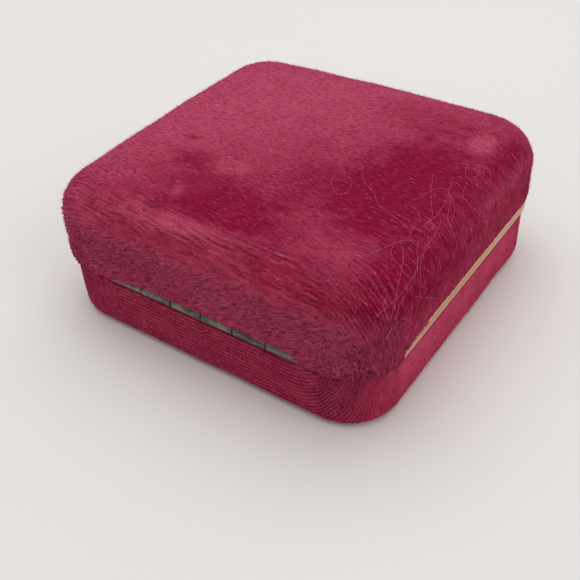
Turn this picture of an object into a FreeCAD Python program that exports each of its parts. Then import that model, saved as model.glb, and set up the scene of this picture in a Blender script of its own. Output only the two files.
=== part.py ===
import FreeCAD, Part
import math
import os

# A velvet-covered ring box: two shallow pressed-steel shells, each edged with a gilt
# metal frame and joined along the back by a six-knuckle hinge.
# Millimetres. +X runs along the hinge, -Y is the side that opens, +Z is up.
# The origin is the middle of the flat underside.

# Overall size
LID_WIDTH = 63.5
LID_DEPTH = 61.0
TOTAL_HEIGHT = 26.0
PARTING_Z = 11.25
LID_CORNER_R = 9.25
LID_EDGE_R = 6.1
LID_CROWN = 0.6
BASE_INSET = 0.6
BASE_EDGE_R = 2.0

# Coverings and shells
LID_PILE = 1.3
BASE_PILE = LID_PILE - BASE_INSET
SHELL_T = 0.5
LID_HEM_R = 0.55
BOTTOM_COVER_T = 0.35
BOTTOM_COVER_INSET = 1.5

# Gilt frames
RIM_T = 0.80
RIM_GAP = 0.15
RIM_LAND = 2.5
RIM_PROUD = 0.30
SKIRT_T = 0.4
SKIRT_DROP = 2.4
RIM_BACK_CLEAR = 0.08

# Hinge
KNUCKLES = 6
KNUCKLE_PITCH = 6.13
KNUCKLE_GAP = 0.25
HINGE_CENTRE_X = -1.2
BARREL_R = 0.85
PIN_R = 0.45
BORE_CLEAR = 0.03
FIXED_BORE_CLEAR = 0.01
BARREL_CLEAR_R = 1.1
KNUCKLE_CHAMFER = 0.12
LEAF_T = 0.35
LEAF_WIDTH = 4.2

# Bow spring
SPRING_T = 0.3
SPRING_WIDTH = 8.0
SPRING_BOW = 2.65
SPRING_REACH = 5.2
SPRING_FOOT = 2.4
SPRING_STEPS = 12

# Linings and ring pad
WALL_LINING_T = 0.75
FIT_GAP = 0.05
BOARD_T = 0.8
BOARD_CORNER_R = 6.2
PAD_TOP_Z = 10.4
PAD_SLIT = 0.9
PAD_MARGIN = 0.4
PAD_CORNER_R = 6.0
PAD_TOP_R = 2.2
SPRING_NOTCH_WIDTH = 10.4
SPRING_NOTCH_DEPTH = 1.9
LINING_CARD_T = 0.6
LINING_CARD_Z = 22.5
LINING_CARD_INSET = 2.9
LINING_CARD_R = 4.8
CUSHION_INSET = 1.8
CUSHION_R = 5.6
CUSHION_T = 1.2
CUSHION_CROWN = 0.3
CUSHION_EDGE_R = 0.35
LID_LINING_TOP_Z = 20.4

# Values that follow from the ones above
HALF_W = LID_WIDTH / 2
HALF_D = LID_DEPTH / 2
SHELL_HALF_W = HALF_W - LID_PILE
SHELL_HALF_D = HALF_D - LID_PILE
INNER_HALF_W = SHELL_HALF_W - SHELL_T
INNER_HALF_D = SHELL_HALF_D - SHELL_T
SHELL_R = LID_CORNER_R - LID_PILE
INNER_R = SHELL_R - SHELL_T
BASE_HALF_W = HALF_W - BASE_INSET
BASE_HALF_D = HALF_D - BASE_INSET
BASE_R = LID_CORNER_R - BASE_INSET
PIN_Y = SHELL_HALF_D + LEAF_T / 2
BASE_RIM_TOP = PARTING_Z - RIM_GAP / 2
BASE_RIM_LOW = BASE_RIM_TOP - RIM_T
LID_RIM_LOW = PARTING_Z + RIM_GAP / 2
LID_RIM_TOP = LID_RIM_LOW + RIM_T
FLOOR_Z = BASE_PILE + SHELL_T
SKIRT_HALF_W = INNER_HALF_W - SKIRT_T
SKIRT_HALF_D = INNER_HALF_D - SKIRT_T
MOUTH_HALF_W = BASE_HALF_W - RIM_LAND
MOUTH_HALF_D = BASE_HALF_D - RIM_LAND
HINGE_LENGTH = KNUCKLES * KNUCKLE_PITCH
HINGE_START_X = HINGE_CENTRE_X - HINGE_LENGTH / 2
CROWN_RADIUS = (HALF_W ** 2 + LID_CROWN ** 2) / (2 * LID_CROWN)


def box(x0, x1, y0, y1, z0, z1):
    """A box between two opposite corners."""
    corner = FreeCAD.Vector(x0, y0, z0)
    return Part.makeBox(x1 - x0, y1 - y0, z1 - z0, corner)


def rounded_plan(x0, x1, y0, y1, radius, z0, z1):
    """A block with rounded upright corners."""
    block = box(x0, x1, y0, y1, z0, z1)
    upright = []
    for edge in block.Edges:
        ends = [vertex.Point for vertex in edge.Vertexes]
        if abs(ends[0].z - ends[1].z) > 0.5 * (z1 - z0):
            upright.append(edge)
    return block.makeFillet(radius, upright)


def centred_plan(half_w, half_d, radius, z0, z1):
    """A rounded block centred on the upright axis."""
    return rounded_plan(-half_w, half_w, -half_d, half_d, radius, z0, z1)


def edges_at(solid, low, high):
    """The edges of a solid whose whole height lies between two levels."""
    found = []
    for edge in solid.Edges:
        bounds = edge.BoundBox
        if bounds.ZMin > low and bounds.ZMax < high:
            found.append(edge)
    return found


def crowned_form(half_w, half_d, radius, z0, top, edge_r):
    """A rounded block with a slightly domed top and a generous top edge."""
    block = centred_plan(half_w, half_d, radius, z0, top + 1)
    centre = FreeCAD.Vector(0, 0, top - CROWN_RADIUS)
    dome = Part.makeSphere(CROWN_RADIUS, centre)
    form = block.common(dome)
    return form.makeFillet(edge_r, edges_at(form, z0 + 0.5, top + 0.5))


def footed_form(half_w, half_d, radius, z0, top, edge_r):
    """A rounded block with a softened bottom edge."""
    block = centred_plan(half_w, half_d, radius, z0, top)
    return block.makeFillet(edge_r, edges_at(block, z0 - 0.1, z0 + 0.1))


def along_x(points, x0, x1):
    """A prism along X from a closed outline of (y, z) points."""
    corners = [FreeCAD.Vector(x0, y, z) for y, z in points]
    wire = Part.makePolygon(corners + corners[:1])
    return Part.Face(wire).extrude(FreeCAD.Vector(x1 - x0, 0, 0))


def rod(radius, x0, x1):
    """A round bar on the hinge line."""
    start = FreeCAD.Vector(x0, PIN_Y, PARTING_Z)
    return Part.makeCylinder(radius, x1 - x0, start, FreeCAD.Vector(1, 0, 0))


def barrel_clearance():
    """The round channel that keeps other pieces off the hinge barrel."""
    spare = 2 * KNUCKLE_GAP
    return rod(BARREL_CLEAR_R, HINGE_START_X - spare, HINGE_START_X + HINGE_LENGTH + spare)


def lid_back_relief():
    """The wedge taken off the lid's back hem so that it clears the base when open."""
    points = [
        (PIN_Y + 0.25, PARTING_Z),
        (PIN_Y + 0.25, LID_RIM_TOP),
        (PIN_Y + 1.30, LID_RIM_TOP + 1.15),
        (PIN_Y + 3.00, LID_RIM_TOP + 1.15),
        (PIN_Y + 3.00, PARTING_Z),
    ]
    return along_x(points, -HALF_W, HALF_W)


def base_back_relief():
    """The wedge taken off the base's back hem, facing the lid's."""
    points = [
        (PIN_Y + 0.10, PARTING_Z),
        (PIN_Y + 0.10, BASE_RIM_LOW),
        (PIN_Y + 0.70, BASE_RIM_LOW - 0.65),
        (PIN_Y + 3.00, BASE_RIM_LOW - 0.65),
        (PIN_Y + 3.00, PARTING_Z),
    ]
    return along_x(points, -HALF_W, HALF_W)


def leaf_strip(side):
    """The flat strip of a hinge leaf, above (+1) or below (-1) the hinge line."""
    near = PARTING_Z + side * BARREL_CLEAR_R
    far = near + side * LEAF_WIDTH
    low = min(near, far)
    high = max(near, far)
    end_x = HINGE_START_X + HINGE_LENGTH
    return box(HINGE_START_X, end_x, PIN_Y - LEAF_T / 2, PIN_Y + LEAF_T / 2, low, high)


def leaf_pocket(side):
    """The pocket in the velvet for a leaf, open to the barrel channel."""
    strip = leaf_strip(side)
    nearer = strip.translated(FreeCAD.Vector(0, 0, -side * KNUCKLE_GAP))
    return strip.fuse(nearer)


def hinge_leaf(side, first, clearance):
    """One leaf: its strip, every second knuckle from first, and the bore."""
    leaf = leaf_strip(side)
    reach = PARTING_Z + side * (BARREL_CLEAR_R + 0.1)
    for index in range(first, KNUCKLES, 2):
        x0 = HINGE_START_X + index * KNUCKLE_PITCH + KNUCKLE_GAP / 2
        x1 = x0 + KNUCKLE_PITCH - KNUCKLE_GAP
        knuckle = rod(BARREL_R, x0, x1)
        rims = [edge for edge in knuckle.Edges if edge.Curve.TypeId == "Part::GeomCircle"]
        knuckle = knuckle.makeChamfer(KNUCKLE_CHAMFER, rims)
        low = min(PARTING_Z, reach)
        high = max(PARTING_Z, reach)
        web = box(x0, x1, PIN_Y - LEAF_T / 2, PIN_Y + LEAF_T / 2, low, high)
        leaf = leaf.fuse([knuckle, web])
    bore = rod(PIN_R + clearance, HINGE_START_X - 1, HINGE_START_X + HINGE_LENGTH + 1)
    return leaf.cut(bore).removeSplitter()


def hinge_pin():
    """The wire through all six knuckles."""
    x1 = HINGE_START_X + HINGE_LENGTH
    return rod(PIN_R, HINGE_START_X - 0.1, x1 + 0.1)


def lid_velvet():
    """The plush cover of the lid, hemmed over the gilt frame."""
    outer = crowned_form(HALF_W, HALF_D, LID_CORNER_R, LID_RIM_TOP, TOTAL_HEIGHT, LID_EDGE_R)
    outer = outer.makeFillet(LID_HEM_R, edges_at(outer, LID_RIM_TOP - 0.1, LID_RIM_TOP + 0.1))
    top = TOTAL_HEIGHT - LID_PILE
    shell_form = crowned_form(
        SHELL_HALF_W, SHELL_HALF_D, SHELL_R, LID_RIM_TOP - 1, top, LID_EDGE_R - LID_PILE
    )
    cover = outer.cut(shell_form)
    cover = cover.cut(lid_back_relief())
    cover = cover.cut(leaf_pocket(1))
    return cover.cut(barrel_clearance())


def lid_shell():
    """The pressed steel lid."""
    top = TOTAL_HEIGHT - LID_PILE
    edge_r = LID_EDGE_R - LID_PILE
    outer = crowned_form(SHELL_HALF_W, SHELL_HALF_D, SHELL_R, LID_RIM_TOP, top, edge_r)
    inner = crowned_form(
        INNER_HALF_W, INNER_HALF_D, INNER_R, LID_RIM_TOP - 1, top - SHELL_T, edge_r - SHELL_T
    )
    return outer.cut(inner).cut(barrel_clearance())


def base_velvet():
    """The flatter cover of the base, carried round the bottom edge."""
    outer = footed_form(BASE_HALF_W, BASE_HALF_D, BASE_R, 0, BASE_RIM_LOW, BASE_EDGE_R)
    shell_form = footed_form(
        SHELL_HALF_W, SHELL_HALF_D, SHELL_R, BASE_PILE, BASE_RIM_LOW + 1, BASE_EDGE_R - BASE_PILE
    )
    cover = outer.cut(shell_form)
    cover = cover.cut(bottom_cover())
    cover = cover.cut(base_back_relief())
    cover = cover.cut(leaf_pocket(-1))
    return cover.cut(barrel_clearance())


def bottom_cover():
    """The glued sheet over the gathered velvet underneath, level with it."""
    inset = BASE_EDGE_R + BOTTOM_COVER_INSET
    return centred_plan(
        BASE_HALF_W - inset, BASE_HALF_D - inset, BASE_R - inset, 0, BOTTOM_COVER_T
    )


def base_shell():
    """The pressed steel base."""
    edge_r = BASE_EDGE_R - BASE_PILE
    outer = footed_form(SHELL_HALF_W, SHELL_HALF_D, SHELL_R, BASE_PILE, BASE_RIM_LOW, edge_r)
    inner = footed_form(
        INNER_HALF_W, INNER_HALF_D, INNER_R, FLOOR_Z, BASE_RIM_LOW + 1, edge_r - SHELL_T
    )
    return outer.cut(inner).cut(barrel_clearance())


def rim(land_low, skirt_side):
    """A gilt frame: a flat land at the parting line and a skirt inside the shell."""
    land = rounded_plan(
        -BASE_HALF_W - RIM_PROUD,
        BASE_HALF_W + RIM_PROUD,
        -BASE_HALF_D - RIM_PROUD,
        PIN_Y - RIM_BACK_CLEAR,
        BASE_R,
        land_low,
        land_low + RIM_T,
    )
    edge = land_low if skirt_side < 0 else land_low + RIM_T
    far = edge + skirt_side * SKIRT_DROP
    low = min(edge, far)
    high = max(edge, far)
    skirt = centred_plan(INNER_HALF_W, INNER_HALF_D, INNER_R, low, high)
    well = centred_plan(
        SKIRT_HALF_W, SKIRT_HALF_D, INNER_R - SKIRT_T, low - 0.01, high + 0.01
    )
    mouth_r = INNER_R - (INNER_HALF_W - MOUTH_HALF_W)
    mouth = centred_plan(MOUTH_HALF_W, MOUTH_HALF_D, mouth_r, land_low - 1, land_low + 2)
    frame = land.cut(mouth).fuse(skirt.cut(well))
    return frame.cut(barrel_clearance()).removeSplitter()


def spring_bow(z):
    """How far inside the back wall the spring stands at a level."""
    away = min(abs(z - PARTING_Z) / SPRING_REACH, 1)
    return SPRING_BOW * (1 + math.cos(math.pi * away)) / 2


def snap_spring():
    """The bow spring between the two back walls, its feet flat against them."""
    wall_y = INNER_HALF_D
    low = PARTING_Z - SPRING_REACH
    step = 2 * SPRING_REACH / SPRING_STEPS
    levels = [low + step * index for index in range(SPRING_STEPS + 1)]
    faces = []
    for offset in (0, SPRING_T):
        points = [FreeCAD.Vector(0, wall_y - offset - spring_bow(z), z) for z in levels]
        curve = Part.BSplineCurve()
        upright = FreeCAD.Vector(0, 0, 1)
        curve.interpolate(Points=points, InitialTangent=upright, FinalTangent=upright)
        faces.append(curve.toShape())
    back, front = faces
    ends = []
    for z in (levels[0], levels[-1]):
        outer_end = FreeCAD.Vector(0, wall_y, z)
        inner_end = FreeCAD.Vector(0, wall_y - SPRING_T, z)
        ends.append(Part.makeLine(outer_end, inner_end))
    wire = Part.Wire(Part.__sortEdges__([back, ends[1], front, ends[0]]))
    bow = Part.Face(wire).extrude(FreeCAD.Vector(SPRING_WIDTH, 0, 0))
    bow.translate(FreeCAD.Vector(-SPRING_WIDTH / 2, 0, 0))
    feet = []
    for z in (low - SPRING_FOOT, PARTING_Z + SPRING_REACH):
        half = SPRING_WIDTH / 2
        feet.append(box(-half, half, wall_y - SPRING_T, wall_y, z, z + SPRING_FOOT))
    return bow.fuse(feet).removeSplitter()


def spring_notch(z0, z1):
    """The space left at the middle of the back for the spring."""
    half = SPRING_NOTCH_WIDTH / 2
    return box(-half, half, MOUTH_HALF_D - SPRING_NOTCH_DEPTH, HALF_D, z0, z1)


def wall_lining(z0, z1):
    """A lining strip standing against the skirt of a gilt frame."""
    half_w = SKIRT_HALF_W - FIT_GAP
    half_d = SKIRT_HALF_D - FIT_GAP
    radius = INNER_R - SKIRT_T - FIT_GAP
    outer = centred_plan(half_w, half_d, radius, z0, z1)
    inner = centred_plan(
        half_w - WALL_LINING_T, half_d - WALL_LINING_T, radius - WALL_LINING_T, z0 - 1, z1 + 1
    )
    return outer.cut(inner).cut(spring_notch(z0 - 1, z1 + 1))


def ring_pad_board():
    """The card on the base floor that carries the two pad rolls."""
    half_w = MOUTH_HALF_W - 2 * FIT_GAP
    half_d = MOUTH_HALF_D - 2 * FIT_GAP
    return centred_plan(half_w, half_d, BOARD_CORNER_R, FLOOR_Z, FLOOR_Z + BOARD_T)


def pad_roll(side):
    """One padded roll, in front of (-1) or behind (+1) the slit that grips the ring."""
    near = side * PAD_SLIT / 2
    far = side * (MOUTH_HALF_D - PAD_MARGIN)
    y0 = min(near, far)
    y1 = max(near, far)
    half_w = MOUTH_HALF_W - PAD_MARGIN
    low = FLOOR_Z + BOARD_T
    roll = box(-half_w, half_w, y0, y1, low, PAD_TOP_Z)
    outer_corners = []
    for edge in roll.Edges:
        bounds = edge.BoundBox
        upright = bounds.ZLength > 1
        if upright and abs(bounds.Center.y - far) < 0.1:
            outer_corners.append(edge)
    roll = roll.makeFillet(PAD_CORNER_R, outer_corners)
    return roll.makeFillet(PAD_TOP_R, edges_at(roll, PAD_TOP_Z - 0.1, PAD_TOP_Z + 0.1))


def ring_pad_rear():
    """The rear roll, notched for the spring."""
    return pad_roll(1).cut(spring_notch(0, PAD_TOP_Z + 1))


def lid_lining_card():
    """The card behind the lid's satin lining."""
    half_w = INNER_HALF_W - LINING_CARD_INSET
    half_d = INNER_HALF_D - LINING_CARD_INSET
    top = LINING_CARD_Z + LINING_CARD_T
    return centred_plan(half_w, half_d, LINING_CARD_R, LINING_CARD_Z, top)


def lid_lining_cushion():
    """The thin padded satin panel facing the ring."""
    half_w = INNER_HALF_W - CUSHION_INSET
    half_d = INNER_HALF_D - CUSHION_INSET
    low = LINING_CARD_Z - CUSHION_T
    panel = centred_plan(half_w, half_d, CUSHION_R, low - 1, LINING_CARD_Z)
    radius = (half_w ** 2 + CUSHION_CROWN ** 2) / (2 * CUSHION_CROWN)
    bulge = Part.makeSphere(radius, FreeCAD.Vector(0, 0, low - CUSHION_CROWN + radius))
    panel = panel.common(bulge)
    return panel.makeFillet(CUSHION_EDGE_R, edges_at(panel, low - 1, low + 0.6))


def main():
    """Build every piece and write one file for each."""
    os.makedirs("parts", exist_ok=True)
    nodes = {
        "base_velvet": base_velvet(),
        "base_bottom_cover": bottom_cover(),
        "base_shell": base_shell(),
        "base_rim": rim(BASE_RIM_LOW, -1),
        "base_hinge_leaf": hinge_leaf(-1, 0, FIXED_BORE_CLEAR),
        "hinge_pin": hinge_pin(),
        "base_wall_lining": wall_lining(FLOOR_Z + 2 * FIT_GAP, BASE_RIM_LOW - 2 * FIT_GAP),
        "ring_pad_board": ring_pad_board(),
        "ring_pad_front": pad_roll(-1),
        "ring_pad_rear": ring_pad_rear(),
        "snap_spring": snap_spring(),
        "lid_velvet": lid_velvet(),
        "lid_shell": lid_shell(),
        "lid_rim": rim(LID_RIM_LOW, 1),
        "lid_hinge_leaf": hinge_leaf(1, 1, BORE_CLEAR),
        "lid_wall_lining": wall_lining(LID_RIM_TOP + 2 * FIT_GAP, LID_LINING_TOP_Z),
        "lid_lining_card": lid_lining_card(),
        "lid_lining_cushion": lid_lining_cushion(),
    }
    for name, shape in nodes.items():
        shape.exportStep("parts/" + name + ".step")
        bounds = shape.BoundBox
        spans = (bounds.XMin, bounds.XMax, bounds.YMin, bounds.YMax, bounds.ZMin, bounds.ZMax)
        text = " ".join("%.2f" % value for value in spans)
        print(name, len(shape.Solids), shape.isValid(), "%.1f" % shape.Volume, text)


main()
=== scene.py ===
import math

import bpy
import numpy as np
from mathutils import Matrix, Vector


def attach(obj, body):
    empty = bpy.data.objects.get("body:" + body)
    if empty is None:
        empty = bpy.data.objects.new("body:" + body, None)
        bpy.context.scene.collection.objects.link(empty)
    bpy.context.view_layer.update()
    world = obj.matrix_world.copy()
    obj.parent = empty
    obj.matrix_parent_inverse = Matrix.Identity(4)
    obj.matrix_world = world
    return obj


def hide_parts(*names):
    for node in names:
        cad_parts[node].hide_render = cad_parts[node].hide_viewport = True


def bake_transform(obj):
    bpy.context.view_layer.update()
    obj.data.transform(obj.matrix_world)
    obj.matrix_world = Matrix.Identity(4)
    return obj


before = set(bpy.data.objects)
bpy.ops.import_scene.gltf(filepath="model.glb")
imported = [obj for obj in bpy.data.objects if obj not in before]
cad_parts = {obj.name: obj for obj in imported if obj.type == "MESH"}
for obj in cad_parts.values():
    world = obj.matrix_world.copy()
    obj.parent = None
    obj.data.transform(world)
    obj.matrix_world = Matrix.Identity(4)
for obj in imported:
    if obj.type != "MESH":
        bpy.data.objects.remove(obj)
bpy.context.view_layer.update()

# Sizes in millimetres, in the part's own frame. MM turns them into metres.
MM = 0.001
LID_HALF_W = 31.75
LID_HALF_D = 30.5
LID_CORNER = 9.25
LID_EDGE = 6.1
LID_TOP = 26.0
LID_CROWN_R = 840.0
LID_HEM = 12.15
LID_ROLL = 0.55
LID_BACK_LIFT = 0.12
LID_BACK_ROLL = 0.45
LID_PILE = 1.3
LID_SINK = 0.12
BASE_INSET = 0.6
BASE_EDGE = 2.0
BASE_TOP = 10.36
BASE_ROLL = 0.45
BASE_PILE = 0.7
PIN_Z = 11.25
HINGE_LEFT = 17.2
HINGE_RIGHT = -19.6
ROW_PITCH = 0.74
TUCK_GAP = 0.05
HAIR_ROOT = 0.06
LID_HAIRS = 60000
BASE_HAIRS = 15000

# Both covers are mapped round one middle block, half this long along X and along Y.
CORE_A = LID_HALF_W - LID_CORNER
CORE_B = LID_HALF_D - LID_CORNER

# How far the lid's cloth runs out from the block: flat, round the edge, then down the wall.
LID_FLAT = LID_CORNER - LID_EDGE
LID_ARC = LID_EDGE * math.pi / 2
LID_WALL = 6.9
LID_REACH = LID_FLAT + LID_ARC + LID_WALL

# The base's cloth in the same way, from under the box outwards.
BASE_CORNER = LID_CORNER - BASE_INSET
BASE_FLAT = BASE_CORNER - BASE_EDGE
BASE_ARC = BASE_EDGE * math.pi / 2

# The pile that hangs over the gilt frames: its levels, and how far it covers each hinge end.
FRINGE_TOP = 13.7
FRINGE_LOW = 10.35
FRINGE_PAST_CORNER = 7.0
FRINGE_OVER_LEFT = 7.5
FRINGE_OVER_RIGHT = 1.1

# The satin strips inside the walls, the fold at each long edge and the cloth in both folds.
SATIN_HALF_W = 29.35
SATIN_HALF_D = 28.1
SATIN_CORNER = 7.2
SATIN_RUN = 210
SATIN_FOLD = 1.2
SATIN_BACK_GAP = 0.095
SATIN_STANDOFF = 0.66

# The bow spring: its two ends, its bow at the pin and the wall that it lies on.
SPRING_LOW = 3.65
SPRING_HIGH = 18.85
SPRING_REACH = 5.2
SPRING_BOW = 2.65
SPRING_WALL = 28.68
SPRING_HALF_WIDTH = 4.0
SPRING_THICK = 0.3

# Padded pieces are blown up at this many times life size, for this many steps.
STUFF_SCALE = 10.0
STUFF_STEPS = 20

LINT_RADIUS = 0.011
LINT_SIDES = 3

# Camera, from the proportions of the box in the photograph.
CAMERA_AZIMUTH = 217.15
CAMERA_ELEVATION = 39.74
CAMERA_ROLL = -3.94
CAMERA_DISTANCE = 144.1
CAMERA_RIGHT = -2.26
CAMERA_UP = -13.76
CAMERA_LENS = 51.11
CAMERA_AIM_Z = 12.7
SENSOR = 36.0

# Where the lid's nap has been brushed, and where a painted highlight and painted light are put on it:
# along X and along Y on the unfolded cloth, the two radii, the turn in degrees, and how much lighter (+)
# or deeper (-) it looks.
BRUSHED_AND_LIT = (
    (-20.5, 2.0, 8.5, 15.0, 0, -0.60),
    (-15.0, -18.5, 8.0, 5.0, 0, -0.30),
    (2.0, 18.5, 16.0, 5.0, -12, -0.36),
    (-9.0, 8.0, 8.0, 7.0, 0, -0.18),
    (-18.5, 20.0, 8.0, 3.8, -8, 0.18),
    (-20.0, 29.0, 8.0, 2.5, 0, -0.18),
    # painted highlight: a light streak along the rounded back edge
    (5.0, 27.0, 11.0, 1.7, 3, 0.46),
    (4.0, 23.2, 12.0, 1.8, 0, -0.30),
    (-25.4, -15.5, 2.2, 2.9, 8, 0.85),
    (9.0, 20.5, 0.9, 2.6, 20, 0.45),
    (18.0, 6.4, 1.5, 0.7, 0, -0.55),
    (13.0, 11.5, 5.0, 2.6, 0, -0.40),
    (5.5, 10.8, 4.0, 2.2, 0, 0.25),
    (-6.0, -20.0, 6.0, 4.0, 30, -0.14),
    (-30.5, 2.0, 2.6, 20.0, 0, -0.18),
    (-33.0, -14.0, 1.3, 9.0, 0, 0.25),
    (-36.0, 4.0, 3.0, 7.0, 0, -0.22),
    (-30.0, 20.0, 5.0, 8.0, 0, -0.36),
    (-30.5, -17.0, 3.5, 6.0, 0, -0.30),
    (26.0, 33.0, 9.0, 6.0, 0, 0.10),
    # painted light: these two lift the shade low on the back wall
    (-27.0, 36.0, 7.0, 5.0, 0, 0.25),
    (-5.0, 36.0, 11.0, 4.0, 0, 0.16),
    (-34.0, 15.0, 4.0, 8.0, 0, -0.26),
    (-39.0, 27.0, 3.0, 6.0, 0, 0.25),
)


# ---- noise

def hashed(ix, iy, seed):
    """A repeatable value in 0..1 for each whole-number cell."""
    n = (ix * 374761393 + iy * 668265263 + seed * 974634777) & 0xFFFFFFFF
    n = ((n ^ (n >> 13)) * 1274126177) & 0xFFFFFFFF
    return ((n ^ (n >> 16)) & 0xFFFF) / 65535.0


def noise(x, y, seed=0):
    """Smooth gradient noise, about -1..1."""
    ix = np.floor(x).astype(np.int64)
    iy = np.floor(y).astype(np.int64)
    fx = x - ix
    fy = y - iy
    sx = fx * fx * fx * (fx * (fx * 6 - 15) + 10)
    sy = fy * fy * fy * (fy * (fy * 6 - 15) + 10)

    def corner(dx, dy):
        turn = 2 * math.pi * hashed(ix + dx, iy + dy, seed)
        return np.cos(turn) * (fx - dx) + np.sin(turn) * (fy - dy)

    low = corner(0, 0) + sx * (corner(1, 0) - corner(0, 0))
    high = corner(0, 1) + sx * (corner(1, 1) - corner(0, 1))
    return 1.5 * (low + sy * (high - low))


def rise(low, high, value):
    """A smooth step from 0 at low to 1 at high."""
    t = np.clip((value - low) / (high - low), 0, 1)
    return t * t * (3 - 2 * t)


# ---- meshes

def make_piece(name, points, faces, material, uv=None, marks=None, smooth=True):
    """A mesh object from points in millimetres, with an optional cloth map and marks per point."""
    mesh = bpy.data.meshes.new(name)
    points = np.asarray(points, dtype=np.float32) * MM
    faces = np.asarray(faces, dtype=np.int32)
    mesh.vertices.add(len(points))
    mesh.vertices.foreach_set("co", points.ravel())
    size = faces.shape[1]
    mesh.loops.add(faces.size)
    mesh.loops.foreach_set("vertex_index", faces.ravel())
    mesh.polygons.add(len(faces))
    mesh.polygons.foreach_set("loop_start", np.arange(0, faces.size, size, dtype=np.int32))
    mesh.update(calc_edges=True)
    if uv is not None:
        layer = mesh.uv_layers.new(name="cloth")
        layer.data.foreach_set("uv", np.asarray(uv, dtype=np.float32)[faces.ravel()].ravel())
    if smooth:
        mesh.polygons.foreach_set("use_smooth", np.ones(len(faces), dtype=bool))
    for mark, values in (marks or {}).items():
        layer = mesh.attributes.new(mark, "FLOAT", "POINT")
        layer.data.foreach_set("value", np.asarray(values, dtype=np.float32))
    mesh.validate()
    mesh.materials.append(material)
    piece = bpy.data.objects.new(name, mesh)
    bpy.context.scene.collection.objects.link(piece)
    return piece


def grid_faces(rows, columns, closed=False):
    """Quads over a grid of points stored row by row; closed joins the last column to the first."""
    r = np.arange(rows - 1)[:, None]
    c = np.arange(columns if closed else columns - 1)[None, :]
    n = (c + 1) % columns
    corners = (r * columns + c, r * columns + n, (r + 1) * columns + n, (r + 1) * columns + c)
    return np.stack([np.broadcast_to(k, (rows - 1, c.shape[1])).ravel() for k in corners], axis=1)


# ---- cloth covers

def rounded_outline(t, half_a, half_b, corner):
    """Points round a rounded rectangle: t in 0..4, one unit for each side and its half corners."""
    side = np.floor(t).astype(int) % 4
    s = 2 * (t - np.floor(t)) - 1
    half = np.where(side % 2 == 0, half_b, half_a)
    run = np.abs(s) * (half - corner + corner * math.pi / 4)
    turn = np.maximum(run - (half - corner), 0) / corner
    along = np.sign(s) * (np.minimum(run, half - corner) + corner * np.sin(turn))
    out = np.where(side % 2 == 0, half_a, half_b) - corner * (1 - np.cos(turn))
    a = np.choose(side, [out, -along, -out, along])
    b = np.choose(side, [along, out, -along, -out])
    return a, b


def unfolded(a, b, core_a, core_b):
    """The core point nearest to a cloth point, and the distance and direction from it."""
    qa = np.clip(a, -core_a, core_a)
    qb = np.clip(b, -core_b, core_b)
    distance = np.hypot(a - qa, b - qb)
    safe = np.maximum(distance, 1e-9)
    return qa, qb, distance, (a - qa) / safe, (b - qb) / safe


def crown(x, y):
    """How far the lid's top has dropped below its middle."""
    return (x * x + y * y) / (2 * LID_CROWN_R)


def turned(a, b, degrees):
    """Cloth coordinates turned about the middle."""
    turn = math.radians(degrees)
    return a * math.cos(turn) + b * math.sin(turn), b * math.cos(turn) - a * math.sin(turn)


def strands(a, b, degrees, length, width, seed):
    """Tufts of pile lying in one direction."""
    along, over = turned(a, b, degrees)
    along = along + 0.6 * noise(a / 4, b / 4, seed + 1)
    over = over + 0.5 * noise(a / 5, b / 4, seed + 2)
    coarse = noise(along / length, over / width, seed)
    fine = noise(along / (0.55 * length), over / (0.55 * width), seed + 3)
    return coarse + 0.5 * fine


def on_back(b):
    """How far a point of the lid's cloth lies on its back wall."""
    return rise(29, 34, b)


def lid_zones(a, b):
    """How far a cloth point belongs to the back, the back edge and the two sides."""
    back = on_back(b)
    edge = rise(20, 27, b) * (1 - back)
    side = rise(27, 33, np.abs(a))
    return back, edge * (1 - side), side


def lid_corner_zone(a, b):
    """How far a cloth point belongs to one of the lid's corners."""
    return rise(17, 25, np.minimum(np.abs(a), np.abs(b)))


def lid_rows(a, b):
    """The woven rows: which row a point lies on, and how clearly the rows show there."""
    back, edge, _ = lid_zones(a, b)
    corner = lid_corner_zone(a, b)
    wander = b + 0.8 * noise(a / 9, b / 7, 12) + 0.14 * noise(a / 1.4, b / 1.1, 13)
    wander = wander + 0.10 * a + 0.30 * (a + 24) * corner * (a < 0)
    broken = 0.5 * noise(a / 5, b / 4, 17) + 0.4 * noise(a / 1.8, b / 1.2, 18)
    show = 0.28 + broken + 0.40 * rise(16, 30, np.abs(a)) + 0.4 * rise(24, 31, a)
    show = show + 0.45 * corner + 0.15 * edge - 0.25 * back
    return wander / ROW_PITCH, np.clip(show, 0, 1)


def lid_nap(a, b):
    """Height of the plush, about -1..1: woven rows showing through brushed strands."""
    back, edge, side = lid_zones(a, b)
    top = np.clip(1 - back - edge - side, 0, 1)
    row, show = lid_rows(a, b)
    row = np.cos(2 * math.pi * row)
    lie = top * strands(a, b, -9, 1.0, 0.42, 20)
    lie = lie + edge * 1.1 * strands(a, b, -5, 5.0, 0.6, 30)
    lie = lie + back * 1.3 * strands(a, b, 27, 1.8, 0.45, 40)
    lie = lie + side * strands(a, b, -6, 2.4, 0.8, 50)
    tufts = noise(a / 0.8, b / 0.7, 16)
    return 0.38 * show * row + 0.75 * lie + 0.25 * tufts


def lid_nap_depth(a, b):
    """How rough the plush is: roughest over the back edge and the corners."""
    back, edge, side = lid_zones(a, b)
    return 0.075 + 0.12 * edge + 0.11 * back + 0.09 * side + 0.05 * lid_corner_zone(a, b)


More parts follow.
